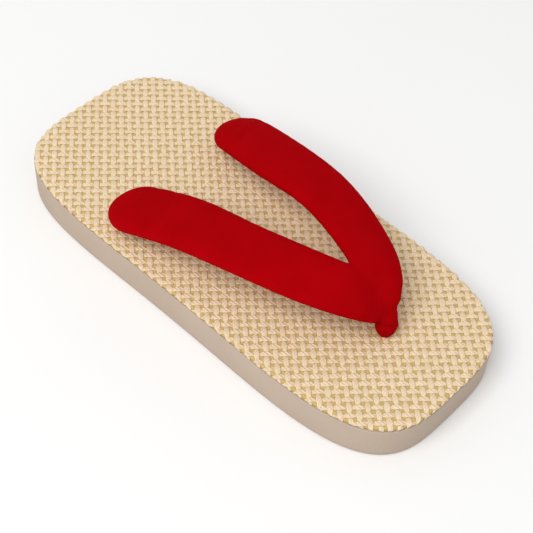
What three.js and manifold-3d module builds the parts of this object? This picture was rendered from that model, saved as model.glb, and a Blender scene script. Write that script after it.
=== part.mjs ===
// A zori sandal: a flat foam slab, a woven mat glued on top, and a padded velvet V strap held
// down by a toe post. Millimetres, +X to the toe, +Y to the wearer's left, +Z up. The origin is
// on the floor under the middle of the sole. Both halves mirror, so it fits either foot.

import * as THREE from 'three';
import { mergeVertices } from 'three/addons/utils/BufferGeometryUtils.js';
import Module from 'manifold-3d';

// Outline shared by sole and mat: a rounded oblong, drawn in a little at the waist and the toe
const SOLE_LENGTH = 245;
const WAIST_WIDTH = 104;
const CORNER_EXPONENT = 3.6;
const END_FLARE = 0.128;
const TOE_DRAW = 0.037;
const OUTLINE_POINTS = 120;

// Heights of the layers, and the clearance between neighbouring pieces
const FOAM_HEIGHT = 19;
const MAT_THICKNESS = 2.7;
const GAP = 0.3;
const MAT_BASE = FOAM_HEIGHT + GAP;
const MAT_TOP = MAT_BASE + MAT_THICKNESS;

// Wall of the slab from the floor up, and rim of the mat above the slab
const SOLE_WALL = [
  { z: 0, inset: 1.8 },
  { z: 0.5, inset: 0.55 },
  { z: 1.8, inset: 0 },
  { z: FOAM_HEIGHT - 0.6, inset: 0 },
  { z: FOAM_HEIGHT, inset: 0.5 },
];
const MAT_RIM = [
  { z: MAT_BASE, inset: 0.5 },
  { z: MAT_BASE + 0.5, inset: 0 },
  { z: MAT_TOP - 1.1, inset: 0 },
  { z: MAT_TOP - 0.35, inset: 0.45 },
  { z: MAT_TOP, inset: 1.4 },
];

// Left arm of the strap, from its tongue end behind to the point of the V in front. Rise is the
// height of the band's middle over the mat, and bank is how many degrees its outer edge drops.
const ARM = [
  { x: -56, y: 37.5, rise: 3.8, width: 23.5, thick: 10, bank: 3 },
  { x: -47.5, y: 36, rise: 9, width: 29, thick: 10, bank: 3 },
  { x: -17, y: 30, rise: 19, width: 31, thick: 8.5, bank: 3 },
  { x: 17, y: 25.5, rise: 25.5, width: 28.5, thick: 8, bank: 5 },
  { x: 44.5, y: 18, rise: 26, width: 27, thick: 8, bank: 11 },
  { x: 66.5, y: 8.5, rise: 23.5, width: 24, thick: 8, bank: 16 },
  { x: 78, y: -2, rise: 13.3, width: 16, thick: 7, bank: 19 },
];
const TONGUE = { length: 15, blunt: 0.6, rings: 6 };
const POINT = { length: 7, blunt: 0.5, rings: 4 };
const BAND_RINGS = 17;
const END_RING_SHARE = 0.4;
const PATH_TENSION = 0.5;
const SECTION_POINTS = 24;
const SECTION_EXPONENT = 2.6;

// Flat tail under each tongue, which goes down into the sole
const TAIL = { x: -49, y: 36.3, width: 14, thick: 5, heading: -11, top: 7 };
const SOCKET_DEPTH = 12;

// Toe post: a stuffed cord, pinched where it enters the mat and round where it meets the V
const POST_X = 79;
const POST = [
  { rise: -SOCKET_DEPTH, radius: 3.4 },
  { rise: 0, radius: 3.6 },
  { rise: 2, radius: 4.6 },
  { rise: 5, radius: 5.2 },
  { rise: 8.5, radius: 5.1 },
  { rise: 10.8, radius: 4.2 },
  { rise: 12, radius: 2.4 },
];
const ROUND_SIDES = 24;
const MERGE_DISTANCE = 1e-4;

const wasm = await Module();
wasm.setup();

// One value of a superellipse's axis, from the cosine or sine of its angle
function rounded(value, exponent) {
  return Math.sign(value) * Math.abs(value) ** (2 / exponent);
}

// Ring of the sole's outline at a height, drawn in by an inset
function outlineRing({ z, inset }) {
  const halfLength = SOLE_LENGTH / 2 - inset;
  const halfWaist = WAIST_WIDTH / 2 - inset;
  return Array.from({ length: OUTLINE_POINTS }, (_, i) => {
    const angle = (2 * Math.PI * (i + 0.5)) / OUTLINE_POINTS;
    const along = rounded(Math.cos(angle), CORNER_EXPONENT);
    const across = rounded(Math.sin(angle), CORNER_EXPONENT);
    const flare = 1 + END_FLARE * along ** 2 - TOE_DRAW * along ** 3;
    return new THREE.Vector3(halfLength * along, halfWaist * across * flare, z);
  });
}

// Closed skin over a stack of rings with equal point counts, each end closed by a fan
function loft(rings) {
  const count = rings[0].length;
  const centre = (ring) => ring.reduce((sum, p) => sum.add(p), new THREE.Vector3()).divideScalar(count);
  const points = [...rings.flat(), centre(rings[0]), centre(rings.at(-1))];
  const first = rings.length * count;
  const last = first + 1;
  const index = [];
  for (let j = 0; j < count; j += 1) {
    const next = (j + 1) % count;
    index.push(first, next, j);
    for (let i = 0; i + 1 < rings.length; i += 1) {
      const low = i * count;
      const high = low + count;
      index.push(low + j, low + next, high + next, low + j, high + next, high + j);
    }
    index.push(last, last - 1 - count + j, last - 1 - count + next);
  }
  const geometry = new THREE.BufferGeometry().setFromPoints(points);
  geometry.setIndex(index);
  return geometry;
}

// Share of full width left at a distance from a round end
function endShare(distance, { length }) {
  const left = 1 - Math.min(distance / length, 1);
  return Math.sqrt(1 - left ** 2);
}

// Distances along the band where its sections stand, closer together in both round ends. The
// first of an end stands a share of a step in, because the end itself has no width.
function stations(total) {
  const turn = (i, { length, rings }) => {
    const angle = ((i + END_RING_SHARE) / rings) * (Math.PI / 2);
    return length * (1 - Math.cos(angle));
  };
  const middle = total - TONGUE.length - POINT.length;
  const list = [];
  for (let i = 0; i < TONGUE.rings; i += 1) {
    list.push(turn(i, TONGUE));
  }
  for (let i = 0; i <= BAND_RINGS; i += 1) {
    list.push(TONGUE.length + (middle * i) / BAND_RINGS);
  }
  for (let i = POINT.rings - 1; i >= 0; i -= 1) {
    list.push(total - turn(i, POINT));
  }
  return list;
}

// Sections of the left arm, grown all round by a clearance
function armRings(grow) {
  const middles = ARM.map(({ x, y, rise }) => new THREE.Vector3(x, y, MAT_TOP + rise));
  for (const [end, inner] of [[0, 1], [ARM.length - 1, ARM.length - 2]]) {
    const outward = middles[end].clone().sub(middles[inner]).setLength(grow);
    middles[end].add(outward);
  }
  const path = new THREE.CatmullRomCurve3(middles, false, 'catmullrom', PATH_TENSION);
  const sizes = ARM.map(({ width, thick, bank }) => new THREE.Vector3(width, thick, bank));
  const build = new THREE.CatmullRomCurve3(sizes, false, 'catmullrom', PATH_TENSION);
  const total = path.getLength();
  const up = new THREE.Vector3(0, 0, 1);
  return stations(total).map((distance) => {
    const t = path.getUtoTmapping(0, distance);
    const { x: width, y: thick, z: bank } = build.getPoint(t);
    const tongue = endShare(distance, TONGUE);
    const point = endShare(total - distance, POINT);
    const thinning = (TONGUE.blunt + (1 - TONGUE.blunt) * tongue) * (POINT.blunt + (1 - POINT.blunt) * point);
    const halfWidth = (width * tongue * point) / 2 + grow;
    const halfThick = (thick * thinning) / 2 + grow;
    const tangent = path.getTangent(t);
    const outer = up.clone().cross(tangent).normalize();
    outer.applyAxisAngle(tangent, THREE.MathUtils.degToRad(-bank));
    const crown = tangent.clone().cross(outer);
    const middle = path.getPoint(t);
    return Array.from({ length: SECTION_POINTS }, (_, i) => {
      const angle = (2 * Math.PI * i) / SECTION_POINTS;
      return middle
        .clone()
        .addScaledVector(outer, halfWidth * rounded(Math.cos(angle), SECTION_EXPONENT))
        .addScaledVector(crown, halfThick * rounded(Math.sin(angle), SECTION_EXPONENT));
    });
  });
}

// The same sections on the right-hand side
function mirrored(rings) {
  return rings.map((ring) => ring.map(({ x, y, z }) => new THREE.Vector3(x, -y, z)).reverse());
}

// Both arms as one pair of skins
function arms(grow) {
  const left = armRings(grow);
  return solid(loft(left)).add(solid(loft(mirrored(left))));
}

// Oval tail of one arm, on the left for side 1 and on the right for side -1
function tail(side, grow) {
  const shape = new THREE.Shape();
  shape.absellipse(0, 0, TAIL.thick / 2 + grow, TAIL.width / 2 + grow, 0, 2 * Math.PI, false, 0);
  const base = FOAM_HEIGHT - SOCKET_DEPTH - grow;
  const depth = MAT_TOP + TAIL.top - base;
  const geometry = new THREE.ExtrudeGeometry(shape, { depth, bevelEnabled: false, curveSegments: ROUND_SIDES });
  geometry.rotateZ(THREE.MathUtils.degToRad(side * TAIL.heading));
  return solid(geometry.translate(TAIL.x, side * TAIL.y, base));
}

// Turned solid of the toe post
function post(grow) {
  const foot = POST[0].rise - grow;
  const profile = POST.map(({ rise, radius }) => new THREE.Vector2(radius + grow, rise));
  profile[0].y = foot;
  profile.unshift(new THREE.Vector2(0, foot));
  profile.push(new THREE.Vector2(0, POST.at(-1).rise));
  const geometry = new THREE.LatheGeometry(profile, ROUND_SIDES);
  return solid(geometry.rotateX(Math.PI / 2).translate(POST_X, 0, MAT_TOP));
}

// Closed solid of a geometry, its shared vertices merged
function solid(geometry) {
  const bare = geometry.clone();
  bare.deleteAttribute('normal');
  bare.deleteAttribute('uv');
  const merged = mergeVertices(bare, MERGE_DISTANCE);
  const vertProperties = new Float32Array(merged.attributes.position.array);
  const triVerts = new Uint32Array(merged.index.array);
  return new wasm.Manifold(new wasm.Mesh({ numProp: 3, vertProperties, triVerts }));
}

// Named mesh of a finished solid
function piece(name, shape, { color, roughness }) {
  const { vertProperties, triVerts } = shape.getMesh();
  const geometry = new THREE.BufferGeometry();
  geometry.setAttribute('position', new THREE.BufferAttribute(vertProperties, 3));
  geometry.setIndex(new THREE.BufferAttribute(triVerts, 1));
  geometry.computeVertexNormals();
  const mesh = new THREE.Mesh(geometry, new THREE.MeshStandardMaterial({ color, roughness, metalness: 0 }));
  mesh.name = name;
  return mesh;
}

// What passes through the mat into the sole, with clearance
const passages = tail(1, GAP).add(tail(-1, GAP)).add(post(GAP));

const foam = { color: 0xc8b7a3, roughness: 0.75 };
const straw = { color: 0xe0c79d, roughness: 0.65 };
const velvet = { color: 0xa60106, roughness: 0.95 };

const sole = solid(loft(SOLE_WALL.map(outlineRing))).subtract(passages);
const mat = solid(loft(MAT_RIM.map(outlineRing))).subtract(passages);
const strap = arms(0).add(tail(1, 0)).add(tail(-1, 0));
const toePost = post(0).subtract(arms(GAP));

const zori = new THREE.Group();
zori.name = 'zori';
zori.add(
  piece('sole', sole, foam),
  piece('mat', mat, straw),
  piece('strap', strap, velvet),
  piece('toe_post', toePost, velvet),
);

export default zori;
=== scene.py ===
import math
import random

import bmesh
import bpy
from mathutils import Matrix, Quaternion, Vector, noise


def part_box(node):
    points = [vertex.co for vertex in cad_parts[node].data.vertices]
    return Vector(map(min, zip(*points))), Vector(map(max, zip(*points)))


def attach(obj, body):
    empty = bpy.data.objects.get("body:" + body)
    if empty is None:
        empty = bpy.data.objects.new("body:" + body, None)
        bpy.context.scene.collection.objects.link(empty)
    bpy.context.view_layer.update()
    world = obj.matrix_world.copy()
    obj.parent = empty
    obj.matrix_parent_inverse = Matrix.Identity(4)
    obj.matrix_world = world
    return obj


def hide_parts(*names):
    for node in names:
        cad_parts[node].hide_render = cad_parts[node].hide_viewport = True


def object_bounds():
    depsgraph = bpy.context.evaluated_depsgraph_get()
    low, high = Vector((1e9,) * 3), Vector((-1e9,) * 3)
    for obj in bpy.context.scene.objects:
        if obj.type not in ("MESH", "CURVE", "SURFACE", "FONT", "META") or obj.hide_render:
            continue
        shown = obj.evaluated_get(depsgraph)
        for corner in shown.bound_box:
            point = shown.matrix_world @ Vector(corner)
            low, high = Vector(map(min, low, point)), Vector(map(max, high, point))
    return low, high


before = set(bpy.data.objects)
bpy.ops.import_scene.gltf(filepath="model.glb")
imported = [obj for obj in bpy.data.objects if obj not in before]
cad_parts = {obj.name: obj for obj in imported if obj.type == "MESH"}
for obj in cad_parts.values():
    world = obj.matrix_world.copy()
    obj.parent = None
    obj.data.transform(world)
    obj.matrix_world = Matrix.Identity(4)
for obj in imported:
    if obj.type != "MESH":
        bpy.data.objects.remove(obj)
cad_low, cad_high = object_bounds()

# Sole
# One slab of beige closed-cell foam, cut with an upright wall and rubbed round along the floor
# edge. It has one thickness from heel to toe, and the other pieces are fixed to it.
MM = 0.001
CORNER_EXPONENT = 3.6
END_FLARE = 0.128
TOE_DRAW = 0.037
WAIST_HALF_WIDTH = 52 * MM
OUTLINE_POINTS = 360
FLOOR_EDGE_ROUND = 1.7 * MM
FLOOR_EDGE_SEGMENTS = 5
TOP_EDGE_ROUND = 0.5 * MM
TOP_EDGE_SEGMENTS = 3
FOAM_LIGHT = (192, 174, 157)
FOAM_DARK = (184, 165, 148)
# Colour, height and share of the painted shade along the floor edge, where the contact shadow falls
FOAM_FLOOR_SHADE = (168, 149, 132)
FOAM_CLOUD = 38 * MM
FOAM_CELL = 0.75 * MM
FOAM_FLOOR_SHADE_HEIGHT = 3.5 * MM
FOAM_FLOOR_SHADE_SHARE = 0.55
FOAM_ROUGHNESS = (0.72, 0.9)
FOAM_SPECULAR = 0.3
FOAM_CELL_DEPTH = 0.12 * MM
NOISE_RANGE = (0.25, 0.75)
# Sockets of a Mix node for colours, by number because its other kinds use the same names
MIX_SHARE = 0
MIX_FIRST = 6
MIX_SECOND = 7
MIX_RESULT = 2

sole_low, sole_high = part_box("sole")
HALF_LENGTH = sole_high.x


def superellipse(value):
    """One coordinate of the outline's corner curve, from the cosine or sine of its angle."""
    return math.copysign(abs(value) ** (2 / CORNER_EXPONENT), value)


def flare(along):
    """Share by which the outline is wider than the waist, from -1 at the heel to 1 at the toe."""
    return 1 + END_FLARE * along**2 - TOE_DRAW * along**3


def outline_point(angle, inset, z):
    """Point of the outline that sole and mat share, drawn in by an inset."""
    along = superellipse(math.cos(angle))
    across = superellipse(math.sin(angle))
    x = (HALF_LENGTH - inset) * along
    y = (WAIST_HALF_WIDTH - inset) * across * flare(along)
    return Vector((x, y, z))


def slab(bm, inset, base, top):
    """Upright slab of the outline, as one bottom, one top and a wall. Returns its rim edges."""
    made = bmesh.ops.create_circle(bm, cap_ends=True, segments=OUTLINE_POINTS, radius=1)
    for count, vert in enumerate(made["verts"]):
        angle = 2 * math.pi * (count + 0.5) / OUTLINE_POINTS
        vert.co = outline_point(angle, inset, base)
    floor_rim = list(bm.edges)
    raised = bmesh.ops.extrude_face_region(bm, geom=list(bm.faces), use_keep_orig=True)
    lifted = [item for item in raised["geom"] if isinstance(item, bmesh.types.BMVert)]
    bmesh.ops.translate(bm, verts=lifted, vec=(0, 0, top - base))
    top_rim = [item for item in raised["geom"] if isinstance(item, bmesh.types.BMEdge)]
    bmesh.ops.recalc_face_normals(bm, faces=bm.faces)
    return floor_rim, top_rim


def rounded_edges(bm, edges, width, segments):
    """Rounds edges over by a width."""
    bmesh.ops.bevel(
        bm,
        geom=edges,
        offset=width,
        offset_type="OFFSET",
        affect="EDGES",
        segments=segments,
        profile=0.5,
        material=-1,
        clamp_overlap=True,
    )


def finished_piece(name, bm):
    """Object of a finished bmesh, smooth shaded, with its place in its mesh."""
    for face in bm.faces:
        face.smooth = True
    mesh = bpy.data.meshes.new(name)
    bm.to_mesh(mesh)
    bm.free()
    piece = bpy.data.objects.new(name, mesh)
    bpy.context.scene.collection.objects.link(piece)
    return piece


def tone(colour):
    """Linear colour of a display colour given as three numbers up to 255."""
    shares = [part / 255 for part in colour]
    linear = [((s + 0.055) / 1.055) ** 2.4 if s > 0.04045 else s / 12.92 for s in shares]
    return (*linear, 1.0)


def add_node(tree, kind, values=None, **settings):
    """New node with its settings and the values of its unlinked sockets."""
    made = tree.nodes.new(kind)
    for name, value in settings.items():
        setattr(made, name, value)
    for name, value in (values or {}).items():
        made.inputs[name].default_value = value
    return made


def blank_material(name):
    """New material, its node tree and its Principled shader."""
    material = bpy.data.materials.new(name)
    material.use_nodes = True
    tree = material.node_tree
    return material, tree, tree.nodes["Principled BSDF"]


def mix_colour(tree, share, first, second):
    """Colour between two colours or sockets, by a share that is a socket or a number."""
    mix = add_node(tree, "ShaderNodeMix", data_type="RGBA")
    for number, value in ((MIX_SHARE, share), (MIX_FIRST, first), (MIX_SECOND, second)):
        if isinstance(value, bpy.types.NodeSocket):
            tree.links.new(value, mix.inputs[number])
        else:
            mix.inputs[number].default_value = value
    return mix.outputs[MIX_RESULT]


def spread(tree, value, low, high, out_low=0.0, out_high=1.0):
    """Value stretched from one range to another and kept inside it."""
    ranged = add_node(tree, "ShaderNodeMapRange", clamp=True)
    tree.links.new(value, ranged.inputs["Value"])
    for name, number in (("From Min", low), ("From Max", high), ("To Min", out_low), ("To Max", out_high)):
        ranged.inputs[name].default_value = number
    return ranged.outputs["Result"]


def cloud_and_grain_group():
    """Soft patches and fine grain, an effect that foam, straw and velvet share."""
    group = bpy.data.node_groups.new("cloud_and_grain", "ShaderNodeTree")
    for name, kind in (("Vector", "Vector"), ("Cloud Scale", "Float"), ("Grain Scale", "Float")):
        group.interface.new_socket(name=name, in_out="INPUT", socket_type="NodeSocket" + kind)
    for name in ("Cloud", "Grain"):
        group.interface.new_socket(name=name, in_out="OUTPUT", socket_type="NodeSocketFloat")
    source = add_node(group, "NodeGroupInput")
    result = add_node(group, "NodeGroupOutput")
    cloud = add_node(group, "ShaderNodeTexNoise", {"Detail": 3.0, "Roughness": 0.55})
    grain = add_node(group, "ShaderNodeTexNoise", {"Detail": 2.0, "Roughness": 0.6})
    for texture, scale, output in ((cloud, "Cloud Scale", "Cloud"), (grain, "Grain Scale", "Grain")):
        group.links.new(source.outputs["Vector"], texture.inputs["Vector"])
        group.links.new(source.outputs[scale], texture.inputs["Scale"])
        group.links.new(spread(group, texture.outputs["Fac"], *NOISE_RANGE), result.inputs[output])
    return group


cloud_and_grain = cloud_and_grain_group()


def add_cloud_and_grain(tree, vector, cloud_size, grain_size):
    """The shared effect placed in a material, with the sizes of its patches and grains."""
    made = add_node(tree, "ShaderNodeGroup", node_tree=cloud_and_grain)
    made.inputs["Cloud Scale"].default_value = 1 / cloud_size
    made.inputs["Grain Scale"].default_value = 1 / grain_size
    tree.links.new(vector, made.inputs["Vector"])
    return made.outputs["Cloud"], made.outputs["Grain"]


def add_bump(tree, height, depth, below=None):
    """Normal raised by a height, over another normal if there is one."""
    bump = add_node(tree, "ShaderNodeBump", {"Strength": 1.0, "Distance": depth})
    tree.links.new(height, bump.inputs["Height"])
    if below is not None:
        tree.links.new(below, bump.inputs["Normal"])
    return bump.outputs["Normal"]


def foam_material():
    """Matte beige foam: faint patches, fine cut cells and painted shade along the floor edge."""
    material, tree, shader = blank_material("foam")
    place = add_node(tree, "ShaderNodeTexCoord").outputs["Object"]
    cloud, grain = add_cloud_and_grain(tree, place, FOAM_CLOUD, FOAM_CELL)
    heights = add_node(tree, "ShaderNodeSeparateXYZ")
    tree.links.new(place, heights.inputs["Vector"])
    # Painted shade: the foam is darkened towards the floor edge, where the floor's contact shadow falls
    floor_shade = spread(tree, heights.outputs["Z"], 0.0, FOAM_FLOOR_SHADE_HEIGHT, FOAM_FLOOR_SHADE_SHARE, 0.0)
    body = mix_colour(tree, cloud, tone(FOAM_DARK), tone(FOAM_LIGHT))
    floor_shaded = mix_colour(tree, floor_shade, body, tone(FOAM_FLOOR_SHADE))
    tree.links.new(floor_shaded, shader.inputs["Base Color"])
    tree.links.new(spread(tree, grain, 0, 1, *FOAM_ROUGHNESS), shader.inputs["Roughness"])
    tree.links.new(add_bump(tree, grain, FOAM_CELL_DEPTH), shader.inputs["Normal"])
    shader.inputs["Specular IOR Level"].default_value = FOAM_SPECULAR
    return material


def dress(piece, material, slot_name, *nodes):
    """Gives a finished piece its material and its body, and hides the nodes that it stands for; its slot
    name is not used.
    """
    piece.data.materials.clear()
    piece.data.materials.append(material)
    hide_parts(*nodes)
    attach(piece, "root")


sole_mesh = bmesh.new()
floor_rim, top_rim = slab(sole_mesh, 0.0, sole_low.z, sole_high.z)
rounded_edges(sole_mesh, floor_rim, FLOOR_EDGE_ROUND, FLOOR_EDGE_SEGMENTS)
top_rim = [edge for edge in top_rim if edge.is_valid]
rounded_edges(sole_mesh, top_rim, TOP_EDGE_ROUND, TOP_EDGE_SEGMENTS)
sole = finished_piece("foam_sole", sole_mesh)
dress(sole, foam_material(), "foam", "sole")

# Mat backing
# A thin ochre felt under the weave, which shows in its gaps. It is glued to the foam and cut a
# little inside the wall, so that a fine dark line runs round the rim.
BACKING_INSET = 0.7 * MM
BACKING_TOP = 1.9 * MM
BACKING_ROUND = 0.8 * MM
BACKING_SEGMENTS = 3
BACKING_LIGHT = (212, 185, 120)
BACKING_DARK = (190, 161, 94)
BACKING_CLOUD = 9 * MM
BACKING_FIBRE = 0.5 * MM
BACKING_FIBRE_DEPTH = 0.1 * MM
BACKING_ROUGHNESS = (0.85, 0.95)

mat_low, mat_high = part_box("mat")


def backing_material():
    """Ochre felt with short fibres."""
    material, tree, shader = blank_material("mat_backing")
    place = add_node(tree, "ShaderNodeTexCoord").outputs["Object"]
    cloud, grain = add_cloud_and_grain(tree, place, BACKING_CLOUD, BACKING_FIBRE)
    body = mix_colour(tree, grain, tone(BACKING_DARK), tone(BACKING_LIGHT))
    tree.links.new(body, shader.inputs["Base Color"])
    tree.links.new(spread(tree, cloud, 0, 1, *BACKING_ROUGHNESS), shader.inputs["Roughness"])
    tree.links.new(add_bump(tree, grain, BACKING_FIBRE_DEPTH), shader.inputs["Normal"])
    return material


backing_mesh = bmesh.new()
_, backing_rim = slab(backing_mesh, BACKING_INSET, mat_low.z, mat_low.z + BACKING_TOP)
rounded_edges(backing_mesh, backing_rim, BACKING_ROUND, BACKING_SEGMENTS)
mat_backing = finished_piece("mat_backing", backing_mesh)
dress(mat_backing, backing_material(), "straw", "mat")

# Mat weave
# An open plain weave of cream straw-like strands that cross the foot on the slant, over and under
# each other, with the ochre backing in the gaps. It is glued down and pressed over at the rim.
WARP_CROSSING = Vector((2.99, -2.68, 0)) * MM
WEFT_CROSSING = Vector((2.89, 2.97, 0)) * MM
# Half of a strand's width and thickness, and its rise at a crossing, in millimetres
WARP = {"half_width": 1.22, "half_height": 0.44, "crimp": 0.28}
WEFT = {"half_width": 1.18, "half_height": 0.44, "crimp": 0.34}
PUFF = 0.24
UNEVEN_WIDTH = 0.08
# Corners of a strand's section: degrees round it, and the share of its height there
STRAND_SECTION = ((0, 1), (40, 1), (68, 0.97), (90, 0.84), (112, 0.97), (140, 1), (180, 1), (270, 1))
SECTION_FLATNESS = 0.8
STEPS_PER_CROSSING = 6
CROWN_FLATNESS = 0.8
STRAND_INSET = 0.1 * MM
STRAND_MERGE = 0.0005 * MM
SEARCH_STEP = 3 * MM
SEARCH_STEPS = 80
REACH_ROUNDS = 24
SLOPE_STEP = 0.05 * MM
LEAST_SLOPE = 1e-3
RIM_WIDTH = 2.0 * MM
RIM_DROP = 1.3 * MM
RIM_PRESS = 0.9
POST_DIMPLE_DEPTH = 0.8 * MM
POST_DIMPLE_WIDTH = 5.5 * MM
WANDER = 0.26 * MM
WANDER_LENGTH = 21 * MM
WANDER_SPREAD = 3.7
TONE_SEED = 11
CREAM = ((252, 236, 204), (243, 221, 184))
CREAM_WARM = (247, 218, 191)
# Colour of the darker fibre streaks, and of the painted shade in the grooves between the plies
CREAM_STREAK_AND_PAINTED_SHADE = (222, 194, 150)
WARM_SHARE = 0.8
STREAK_SHARE = 0.55
GROOVE_SHADE_SHARE = 0.45
GROOVE_WIDTH = 0.5
PLY_TWIST = 2.05 * MM
PLY_DEPTH = 0.22 * MM
PLY_DISTORTION = 1.5
# A diagonal Wave Texture turns 10 radians per unit at a scale of 1, so this is one wave per unit
WAVES = math.tau / 10
FIBRE_WIDTH = 0.4 * MM
FIBRE_LENGTH = 3.2 * MM
FIBRE_DEPTH = 0.1 * MM
# Sizes of a patch and of a grain, in fibres
PATCH_FIBRES = 6.0
GRAIN_FIBRES = 1.0
STRAND_ROUGHNESS = (0.5, 0.68)
STRAND_SPECULAR = 0.35

post_low, post_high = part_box("toe_post")
post_x = (post_low.x + post_high.x) / 2
weave_middle = mat_high.z - (WEFT["half_height"] + WEFT["crimp"]) * MM
strand_tones = random.Random(TONE_SEED)


def outline_level(x, y):
    """Value that is 1 on the outline and smaller inside it."""
    along = max(-1.0, min(1.0, x / HALF_LENGTH))
    across = y / (WAIST_HALF_WIDTH * flare(along))
    total = abs(x / HALF_LENGTH) ** CORNER_EXPONENT + abs(across) ** CORNER_EXPONENT
    return total ** (1 / CORNER_EXPONENT)


def edge_distance(point):
    """Distance from a point to the outline, positive inside it."""
    x, y, _ = point
    slope_x = (outline_level(x + SLOPE_STEP, y) - outline_level(x - SLOPE_STEP, y)) / (2 * SLOPE_STEP)
    slope_y = (outline_level(x, y + SLOPE_STEP) - outline_level(x, y - SLOPE_STEP)) / (2 * SLOPE_STEP)
    return (1 - outline_level(x, y)) / max(math.hypot(slope_x, slope_y), LEAST_SLOPE)


def reach(middle, run):
    """Length of a strand from a point inside the outline to the rim, along a direction."""
    short, far = 0.0, 2 * HALF_LENGTH
    for _ in range(REACH_ROUNDS):
        half = (short + far) / 2
        inside = edge_distance(middle + run * half) > STRAND_INSET
        short, far = (half, far) if inside else (short, half)
    return short


def weave_drop(point, nearness):
    """How far the weave is pressed down at the rim and drawn down round the toe post."""
    rim = RIM_DROP * (1 - math.sqrt(1 - nearness**2))
    away = math.hypot(point.x - post_x, point.y) / POST_DIMPLE_WIDTH
    return rim + POST_DIMPLE_DEPTH * math.exp(-(away**2))


def flattened(value):
    """One coordinate of a strand's flattened section, from a cosine or sine."""
    return math.copysign(abs(value) ** SECTION_FLATNESS, value)


def add_strand(bm, layer, index, step, crossing, build, sign):
    """One strand of the weave, as a rolled and closed tube that rides over and under the others."""
    run = crossing.normalized()
    side = Vector((-run.y, run.x, 0))
    uneven = 1 + UNEVEN_WIDTH * (2 * strand_tones.random() - 1)
    half_width = build["half_width"] * uneven * MM
    places = [count * SEARCH_STEP for count in range(-SEARCH_STEPS, SEARCH_STEPS + 1)]
    inmost = max(places, key=lambda place: edge_distance(step * index + run * place))
    middle = step * index + run * inmost
    if edge_distance(middle) < half_width:
        return
    turns = [(math.radians(degrees), share) for degrees, share in STRAND_SECTION]
    section = [(half_width * flattened(math.cos(t)), share * flattened(math.sin(t))) for t, share in turns]
    ends = [(-reach(middle + side * off, -run), reach(middle + side * off, run)) for off, _ in section]
    corners = len(section)
    longest = max(front - back for back, front in ends)
    steps = max(STEPS_PER_CROSSING, round(longest / crossing.length * STEPS_PER_CROSSING))
    shade = strand_tones.random()
    made = bmesh.ops.create_grid(bm, x_segments=steps, y_segments=corners, size=1)
    for vert in made["verts"]:
        corner = round((vert.co.y + 1) / 2 * corners) % corners
        off, rise = section[corner]
        back, front = ends[corner]
        along = back + (vert.co.x + 1) / 2 * (front - back)
        base = middle + run * along
        nearness = 1 - min(max(edge_distance(base), 0.0) / RIM_WIDTH, 1.0)
        wave = sign * math.cos(math.pi * ((inmost + along) / crossing.length + index))
        lift = math.copysign(abs(wave) ** CROWN_FLATNESS, wave) * (1 - RIM_PRESS * nearness)
        sway = WANDER * noise.noise((along / WANDER_LENGTH, index * WANDER_SPREAD, sign))
        height = (build["crimp"] * lift + build["half_height"] * rise) * MM
        base.z = weave_middle + height - weave_drop(base, nearness)
        vert.co = base + side * (sway + off * (1 + PUFF * lift))
        vert[layer] = shade


def along_strand(tree, crossing, scale):
    """Place on the mat, turned so that X runs along the strands, in units of a scale."""
    place = add_node(tree, "ShaderNodeTexCoord").outputs["Object"]
    lay = add_node(tree, "ShaderNodeMapping", vector_type="TEXTURE")
    lay.inputs["Rotation"].default_value = (0, 0, math.atan2(crossing.y, crossing.x))
    lay.inputs["Scale"].default_value = scale
    tree.links.new(place, lay.inputs["Vector"])
    return lay.outputs["Vector"]


def strand_material(name, crossing):
    """Straw-like strand: its own tone, two twisted plies with painted shade in the grooves between them,
    fibres along it and a low sheen.
    """
    material, tree, shader = blank_material(name)
    fibres = along_strand(tree, crossing, (FIBRE_LENGTH, FIBRE_WIDTH, FIBRE_WIDTH))
    cloud, fibre = add_cloud_and_grain(tree, fibres, PATCH_FIBRES, GRAIN_FIBRES)
    wave_values = {"Scale": WAVES, "Distortion": PLY_DISTORTION}
    plies = add_node(tree, "ShaderNodeTexWave", wave_values, bands_direction="DIAGONAL")
    twist = along_strand(tree, crossing, (PLY_TWIST, PLY_TWIST, PLY_TWIST))
    tree.links.new(twist, plies.inputs["Vector"])
    ply = plies.outputs["Fac"]
    own = add_node(tree, "ShaderNodeAttribute", attribute_name="shade").outputs["Fac"]
    light, dark = (tone(colour) for colour in CREAM)
    body = mix_colour(tree, own, light, dark)
    warmth = spread(tree, cloud, 0, 1, 0.0, WARM_SHARE)
    tinted = mix_colour(tree, warmth, body, tone(CREAM_WARM))
    streak = spread(tree, fibre, 0, 1, 0.0, STREAK_SHARE)
    streaked = mix_colour(tree, streak, tinted, tone(CREAM_STREAK_AND_PAINTED_SHADE))
    # Painted shade: the strand is darkened in the grooves between its twisted plies
    groove_shade = spread(tree, ply, 0, GROOVE_WIDTH, GROOVE_SHADE_SHARE, 0.0)
    groove_shaded = mix_colour(tree, groove_shade, streaked, tone(CREAM_STREAK_AND_PAINTED_SHADE))
    tree.links.new(groove_shaded, shader.inputs["Base Color"])
    tree.links.new(spread(tree, cloud, 0, 1, *STRAND_ROUGHNESS), shader.inputs["Roughness"])
    plied = add_bump(tree, ply, PLY_DEPTH)
    tree.links.new(add_bump(tree, fibre, FIBRE_DEPTH, plied), shader.inputs["Normal"])
    shader.inputs["Specular IOR Level"].default_value = STRAND_SPECULAR
    return material


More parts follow.
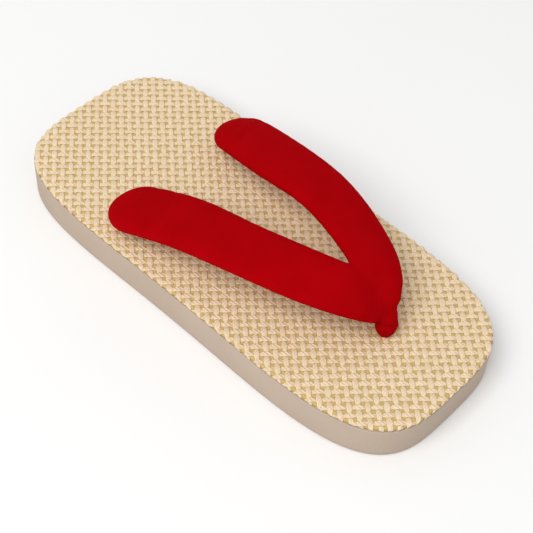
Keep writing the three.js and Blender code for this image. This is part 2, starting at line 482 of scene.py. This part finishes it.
def woven_piece(name, step, crossing, build, sign):
    """All strands that run one way, joined as one piece."""
    bm = bmesh.new()
    layer = bm.verts.layers.float.new("shade")
    count = math.ceil((HALF_LENGTH + WAIST_HALF_WIDTH) / step.length)
    for index in range(-count, count + 1):
        add_strand(bm, layer, index, step, crossing, build, sign)
    bmesh.ops.remove_doubles(bm, verts=bm.verts, dist=STRAND_MERGE)
    bmesh.ops.holes_fill(bm, edges=bm.edges, sides=len(STRAND_SECTION))
    bmesh.ops.recalc_face_normals(bm, faces=bm.faces)
    piece = finished_piece(name, bm)
    dress(piece, strand_material(name, crossing), "straw", "mat")


woven_piece("mat_warp", WEFT_CROSSING, WARP_CROSSING, WARP, 1)
woven_piece("mat_weft", WARP_CROSSING, WEFT_CROSSING, WEFT, -1)

# Strap
# The padded V that holds the foot, a stuffed tube of red velvet. Its two arms are sewn together
# at the toe, and their round ends are pulled down through the mat into the sole.
SOLID_MERGE = 0.01 * MM
STRAP_VOXEL = 1.1 * MM
STRAP_SMOOTHING = 7
SMOOTHING_FACTOR = 0.5
END_PLACE = Vector((-49.5, 36.3, 0)) * MM
POST_LEAN = Vector((0.8, 1.1, 0)) * MM
# Heights over the mat and radii of a lump's foot and top in millimetres, and its share along X
END_PADDING = {"rise": (-0.3, 6.0), "radius": (7.8, 10.5), "narrow": 0.62}
COLLAR_PADDING = {"rise": (6.5, 13.5), "radius": (5.0, 5.5), "narrow": 1.0}
PADDING_SEGMENTS = 48
END_CREASES = (-38 * MM, -29 * MM)
END_CREASE_DEPTH = 0.35 * MM
CREASE_WIDTH = 2.2 * MM
CREASE_SLANT = 0.25
SEAM_START = 58 * MM
SEAM_FULL = 66 * MM
SEAM_DEPTH = 0.2 * MM
SEAM_WIDTH = 1.3 * MM
SEAM_REACH = 8 * MM
SEAM_SMOOTHING = 24
VELVET_LIGHT = (172, 1, 9)
VELVET_DARK = (158, 0, 6)
VELVET_CLOUD = 16 * MM
VELVET_NAP = 0.28 * MM
# Share of painted shade in the low places of the nap
VELVET_HOLLOW_SHADE_SHARE = 0.35
VELVET_NAP_DEPTH = 0.08 * MM
VELVET_ROUGHNESS = (0.85, 1.0)
VELVET_SPECULAR = 0.02
SHEEN_WEIGHT = 0.1
SHEEN_ROUGHNESS = 0.4
SHEEN_TINT = (215, 12, 22)


def merged_copy(node):
    """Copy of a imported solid's mesh with its loose corners joined."""
    bm = bmesh.new()
    bm.from_mesh(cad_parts[node].data)
    bmesh.ops.remove_doubles(bm, verts=bm.verts, dist=SOLID_MERGE)
    return bm


def add_padding(bm, place, padding):
    """Lump of padding between two heights over the mat, which the remesh joins to the strap."""
    low, high = (rise * MM for rise in padding["rise"])
    below, above = (radius * MM for radius in padding["radius"])
    middle = Matrix.Translation(place + Vector((0, 0, mat_high.z + (low + high) / 2)))
    bmesh.ops.create_cone(
        bm,
        cap_ends=True,
        segments=PADDING_SEGMENTS,
        radius1=below,
        radius2=above,
        depth=high - low,
        matrix=middle @ Matrix.Diagonal((padding["narrow"], 1, 1, 1)),
    )


def remeshed(name, bm, voxel):
    """The same form with an even skin, as a new bmesh."""
    rough = finished_piece(name + "_rough", bm)
    skin = rough.modifiers.new("skin", "REMESH")
    skin.mode = "VOXEL"
    skin.voxel_size = voxel
    even = bmesh.new()
    even.from_object(rough, bpy.context.evaluated_depsgraph_get())
    rough_mesh = rough.data
    bpy.data.objects.remove(rough)
    bpy.data.meshes.remove(rough_mesh)
    return even


def smooth(bm, verts, rounds):
    """Evens out a skin, a number of times."""
    for _ in range(rounds):
        bmesh.ops.smooth_vert(
            bm,
            verts=verts,
            factor=SMOOTHING_FACTOR,
            use_axis_x=True,
            use_axis_y=True,
            use_axis_z=True,
        )


def velvet_material():
    """Red velvet: short upright nap with painted shade in its hollows, soft patches where it leans, almost
    no gloss.
    """
    material, tree, shader = blank_material("velvet")
    place = add_node(tree, "ShaderNodeTexCoord").outputs["Object"]
    cloud, nap = add_cloud_and_grain(tree, place, VELVET_CLOUD, VELVET_NAP)
    body = mix_colour(tree, cloud, tone(VELVET_DARK), tone(VELVET_LIGHT))
    # Painted shade: the velvet is darkened where the nap's bump sinks low
    hollow_shade = spread(tree, nap, 0, 1, VELVET_HOLLOW_SHADE_SHARE, 0.0)
    hollow_shaded = mix_colour(tree, hollow_shade, body, tone(VELVET_DARK))
    tree.links.new(hollow_shaded, shader.inputs["Base Color"])
    tree.links.new(spread(tree, nap, 0, 1, *VELVET_ROUGHNESS), shader.inputs["Roughness"])
    tree.links.new(add_bump(tree, nap, VELVET_NAP_DEPTH), shader.inputs["Normal"])
    shader.inputs["Specular IOR Level"].default_value = VELVET_SPECULAR
    shader.inputs["Sheen Weight"].default_value = SHEEN_WEIGHT
    shader.inputs["Sheen Roughness"].default_value = SHEEN_ROUGHNESS
    shader.inputs["Sheen Tint"].default_value = tone(SHEEN_TINT)
    return material


def add_subdivision(piece, levels):
    """Subdivision surface, the same in every view."""
    made = piece.modifiers.new("round", "SUBSURF")
    made.levels = levels
    made.render_levels = levels


def soft_step(value, start, end):
    """Share from 0 at one value to 1 at another, eased at both ends."""
    share = min(max((value - start) / (end - start), 0.0), 1.0)
    return share * share * (3 - 2 * share)


def crease_strap(vert):
    """Soft troughs: two across each round end, one down the seam of the V."""
    depth = 0.0
    slant = abs(vert.co.y) * CREASE_SLANT
    for place in END_CREASES:
        depth += END_CREASE_DEPTH * math.exp(-(((vert.co.x + slant - place) / CREASE_WIDTH) ** 2))
    seam = soft_step(vert.co.x, SEAM_START, SEAM_FULL)
    depth += SEAM_DEPTH * seam * math.exp(-((vert.co.y / SEAM_WIDTH) ** 2))
    vert.co -= vert.normal * depth * max(vert.normal.z, 0.0)


velvet = velvet_material()
strap_form = merged_copy("strap")
add_padding(strap_form, END_PLACE, END_PADDING)
add_padding(strap_form, END_PLACE * Vector((1, -1, 1)), END_PADDING)
add_padding(strap_form, Vector((post_x, 0, 0)) + POST_LEAN, COLLAR_PADDING)
strap_mesh = remeshed("strap", strap_form, STRAP_VOXEL)
smooth(strap_mesh, strap_mesh.verts, STRAP_SMOOTHING)
seam_skin = [vert for vert in strap_mesh.verts if abs(vert.co.y) < SEAM_REACH and vert.co.x > SEAM_START]
smooth(strap_mesh, seam_skin, SEAM_SMOOTHING)
strap_mesh.normal_update()
for vert in strap_mesh.verts:
    crease_strap(vert)
strap = finished_piece("velvet_strap", strap_mesh)
add_subdivision(strap, 1)
dress(strap, velvet, "velvet", "strap")

# Toe post
# A short stuffed cord of the same velvet. It is sewn into the point of the V, is gathered and
# drawn in where it enters the mat, and ends out of sight below.
POST_STEPS = 72
POST_MERGE = 0.001 * MM
POST_GATHERS = 9
GATHER_DEPTH = 0.28 * MM
GATHER_RISE = 1.5 * MM
GATHER_REACH = 4 * MM
GATHER_LEAST_RADIUS = 0.5 * MM
# Height over the mat and radius at each step up the cord, in millimetres
POST_PROFILE = (
    {"rise": -1.5, "radius": 3.1},
    {"rise": 0.0, "radius": 3.4},
    {"rise": 1.2, "radius": 4.0},
    {"rise": 3.0, "radius": 4.8},
    {"rise": 5.0, "radius": 5.3},
    {"rise": 6.6, "radius": 5.3},
    {"rise": 8.0, "radius": 4.8},
    {"rise": 9.5, "radius": 4.2},
    {"rise": 11.0, "radius": 3.0},
)

post_mesh = bmesh.new()
profile = [post_mesh.verts.new((0, 0, POST_PROFILE[0]["rise"] * MM))]
for ring in POST_PROFILE:
    profile.append(post_mesh.verts.new((ring["radius"] * MM, 0, ring["rise"] * MM)))
profile.append(post_mesh.verts.new((0, 0, POST_PROFILE[-1]["rise"] * MM)))
lines = [post_mesh.edges.new(pair) for pair in zip(profile, profile[1:])]
bmesh.ops.spin(
    post_mesh,
    geom=profile + lines,
    cent=(0, 0, 0),
    axis=(0, 0, 1),
    angle=2 * math.pi,
    steps=POST_STEPS,
    use_merge=True,
    use_duplicate=False,
)
bmesh.ops.remove_doubles(post_mesh, verts=post_mesh.verts, dist=POST_MERGE)
bmesh.ops.recalc_face_normals(post_mesh, faces=post_mesh.faces)
for vert in post_mesh.verts:
    turn = math.atan2(vert.co.y, vert.co.x)
    radius = math.hypot(vert.co.x, vert.co.y)
    low_share = max(0.0, 1 - abs(vert.co.z - GATHER_RISE) / GATHER_REACH)
    fold = GATHER_DEPTH * low_share * math.cos(POST_GATHERS * turn)
    share = (radius + fold) / radius if radius > GATHER_LEAST_RADIUS else 1
    vert.co = Vector((vert.co.x * share + post_x, vert.co.y * share, vert.co.z + mat_high.z)) + POST_LEAN
toe_post = finished_piece("velvet_toe_post", post_mesh)
add_subdivision(toe_post, 1)
dress(toe_post, velvet, "velvet", "toe_post")

# Floor, light and camera
# A plain pale floor under soft light from all round, with one broad lamp high on the camera's
# side, and a camera that looks over the toe from the wearer's right.
FLOOR_SIZE = 6.0
FLOOR_GAP = 0.05 * MM
FLOOR_LIGHT = (248, 248, 247)
FLOOR_DARK = (245, 245, 244)
FLOOR_CLOUD = 0.4
FLOOR_GRAIN = 2 * MM
FLOOR_ROUGHNESS = (0.9, 1.0)
FLOOR_SPECULAR = 0.1
WORLD_COLOUR = (255, 255, 255)
WORLD_STRENGTH = 0.55
KEY_PLACE = Vector((0.1, -1.2, 1.9))
KEY_SIZE = 1.5
KEY_POWER = 34.0
CAMERA_PLACE = Vector((0.25509, -0.29205, 0.48086))
CAMERA_AIM = Vector((0.012, -0.004, 0.012))
CAMERA_ROLL = math.radians(4.355)
CAMERA_LENS = 85.73
CAMERA_SENSOR = 36.0


def floor_material():
    """Pale seamless paper."""
    material, tree, shader = blank_material("floor")
    place = add_node(tree, "ShaderNodeTexCoord").outputs["Object"]
    cloud, grain = add_cloud_and_grain(tree, place, FLOOR_CLOUD, FLOOR_GRAIN)
    body = mix_colour(tree, cloud, tone(FLOOR_DARK), tone(FLOOR_LIGHT))
    tree.links.new(body, shader.inputs["Base Color"])
    tree.links.new(spread(tree, grain, 0, 1, *FLOOR_ROUGHNESS), shader.inputs["Roughness"])
    shader.inputs["Specular IOR Level"].default_value = FLOOR_SPECULAR
    return material


floor_mesh = bmesh.new()
bmesh.ops.create_grid(floor_mesh, x_segments=1, y_segments=1, size=FLOOR_SIZE / 2)
bmesh.ops.translate(floor_mesh, verts=floor_mesh.verts, vec=(0, 0, cad_low.z - FLOOR_GAP))
floor = finished_piece("floor", floor_mesh)
floor.data.materials.append(floor_material())

world = bpy.data.worlds.new("studio")
world.use_nodes = True
background = world.node_tree.nodes["Background"]
background.inputs["Color"].default_value = tone(WORLD_COLOUR)
background.inputs["Strength"].default_value = WORLD_STRENGTH
bpy.context.scene.world = world

key = bpy.data.objects.new("key_light", bpy.data.lights.new("key_light", "AREA"))
key.data.size = KEY_SIZE
key.data.energy = KEY_POWER
key.location = KEY_PLACE
key.rotation_mode = "QUATERNION"
key.rotation_quaternion = (CAMERA_AIM - KEY_PLACE).to_track_quat("-Z", "Y")
bpy.context.scene.collection.objects.link(key)

camera = bpy.data.objects.new("camera", bpy.data.cameras.new("camera"))
camera.data.sensor_width = CAMERA_SENSOR
camera.data.lens = CAMERA_LENS
camera.location = CAMERA_PLACE
camera.rotation_mode = "QUATERNION"
roll = Quaternion((0, 0, 1), CAMERA_ROLL)
camera.rotation_quaternion = (CAMERA_AIM - CAMERA_PLACE).to_track_quat("-Z", "Y") @ roll
bpy.context.scene.collection.objects.link(camera)
bpy.context.scene.camera = camera
bpy.context.scene.view_settings.view_transform = "Standard"

bpy.context.view_layer.update()
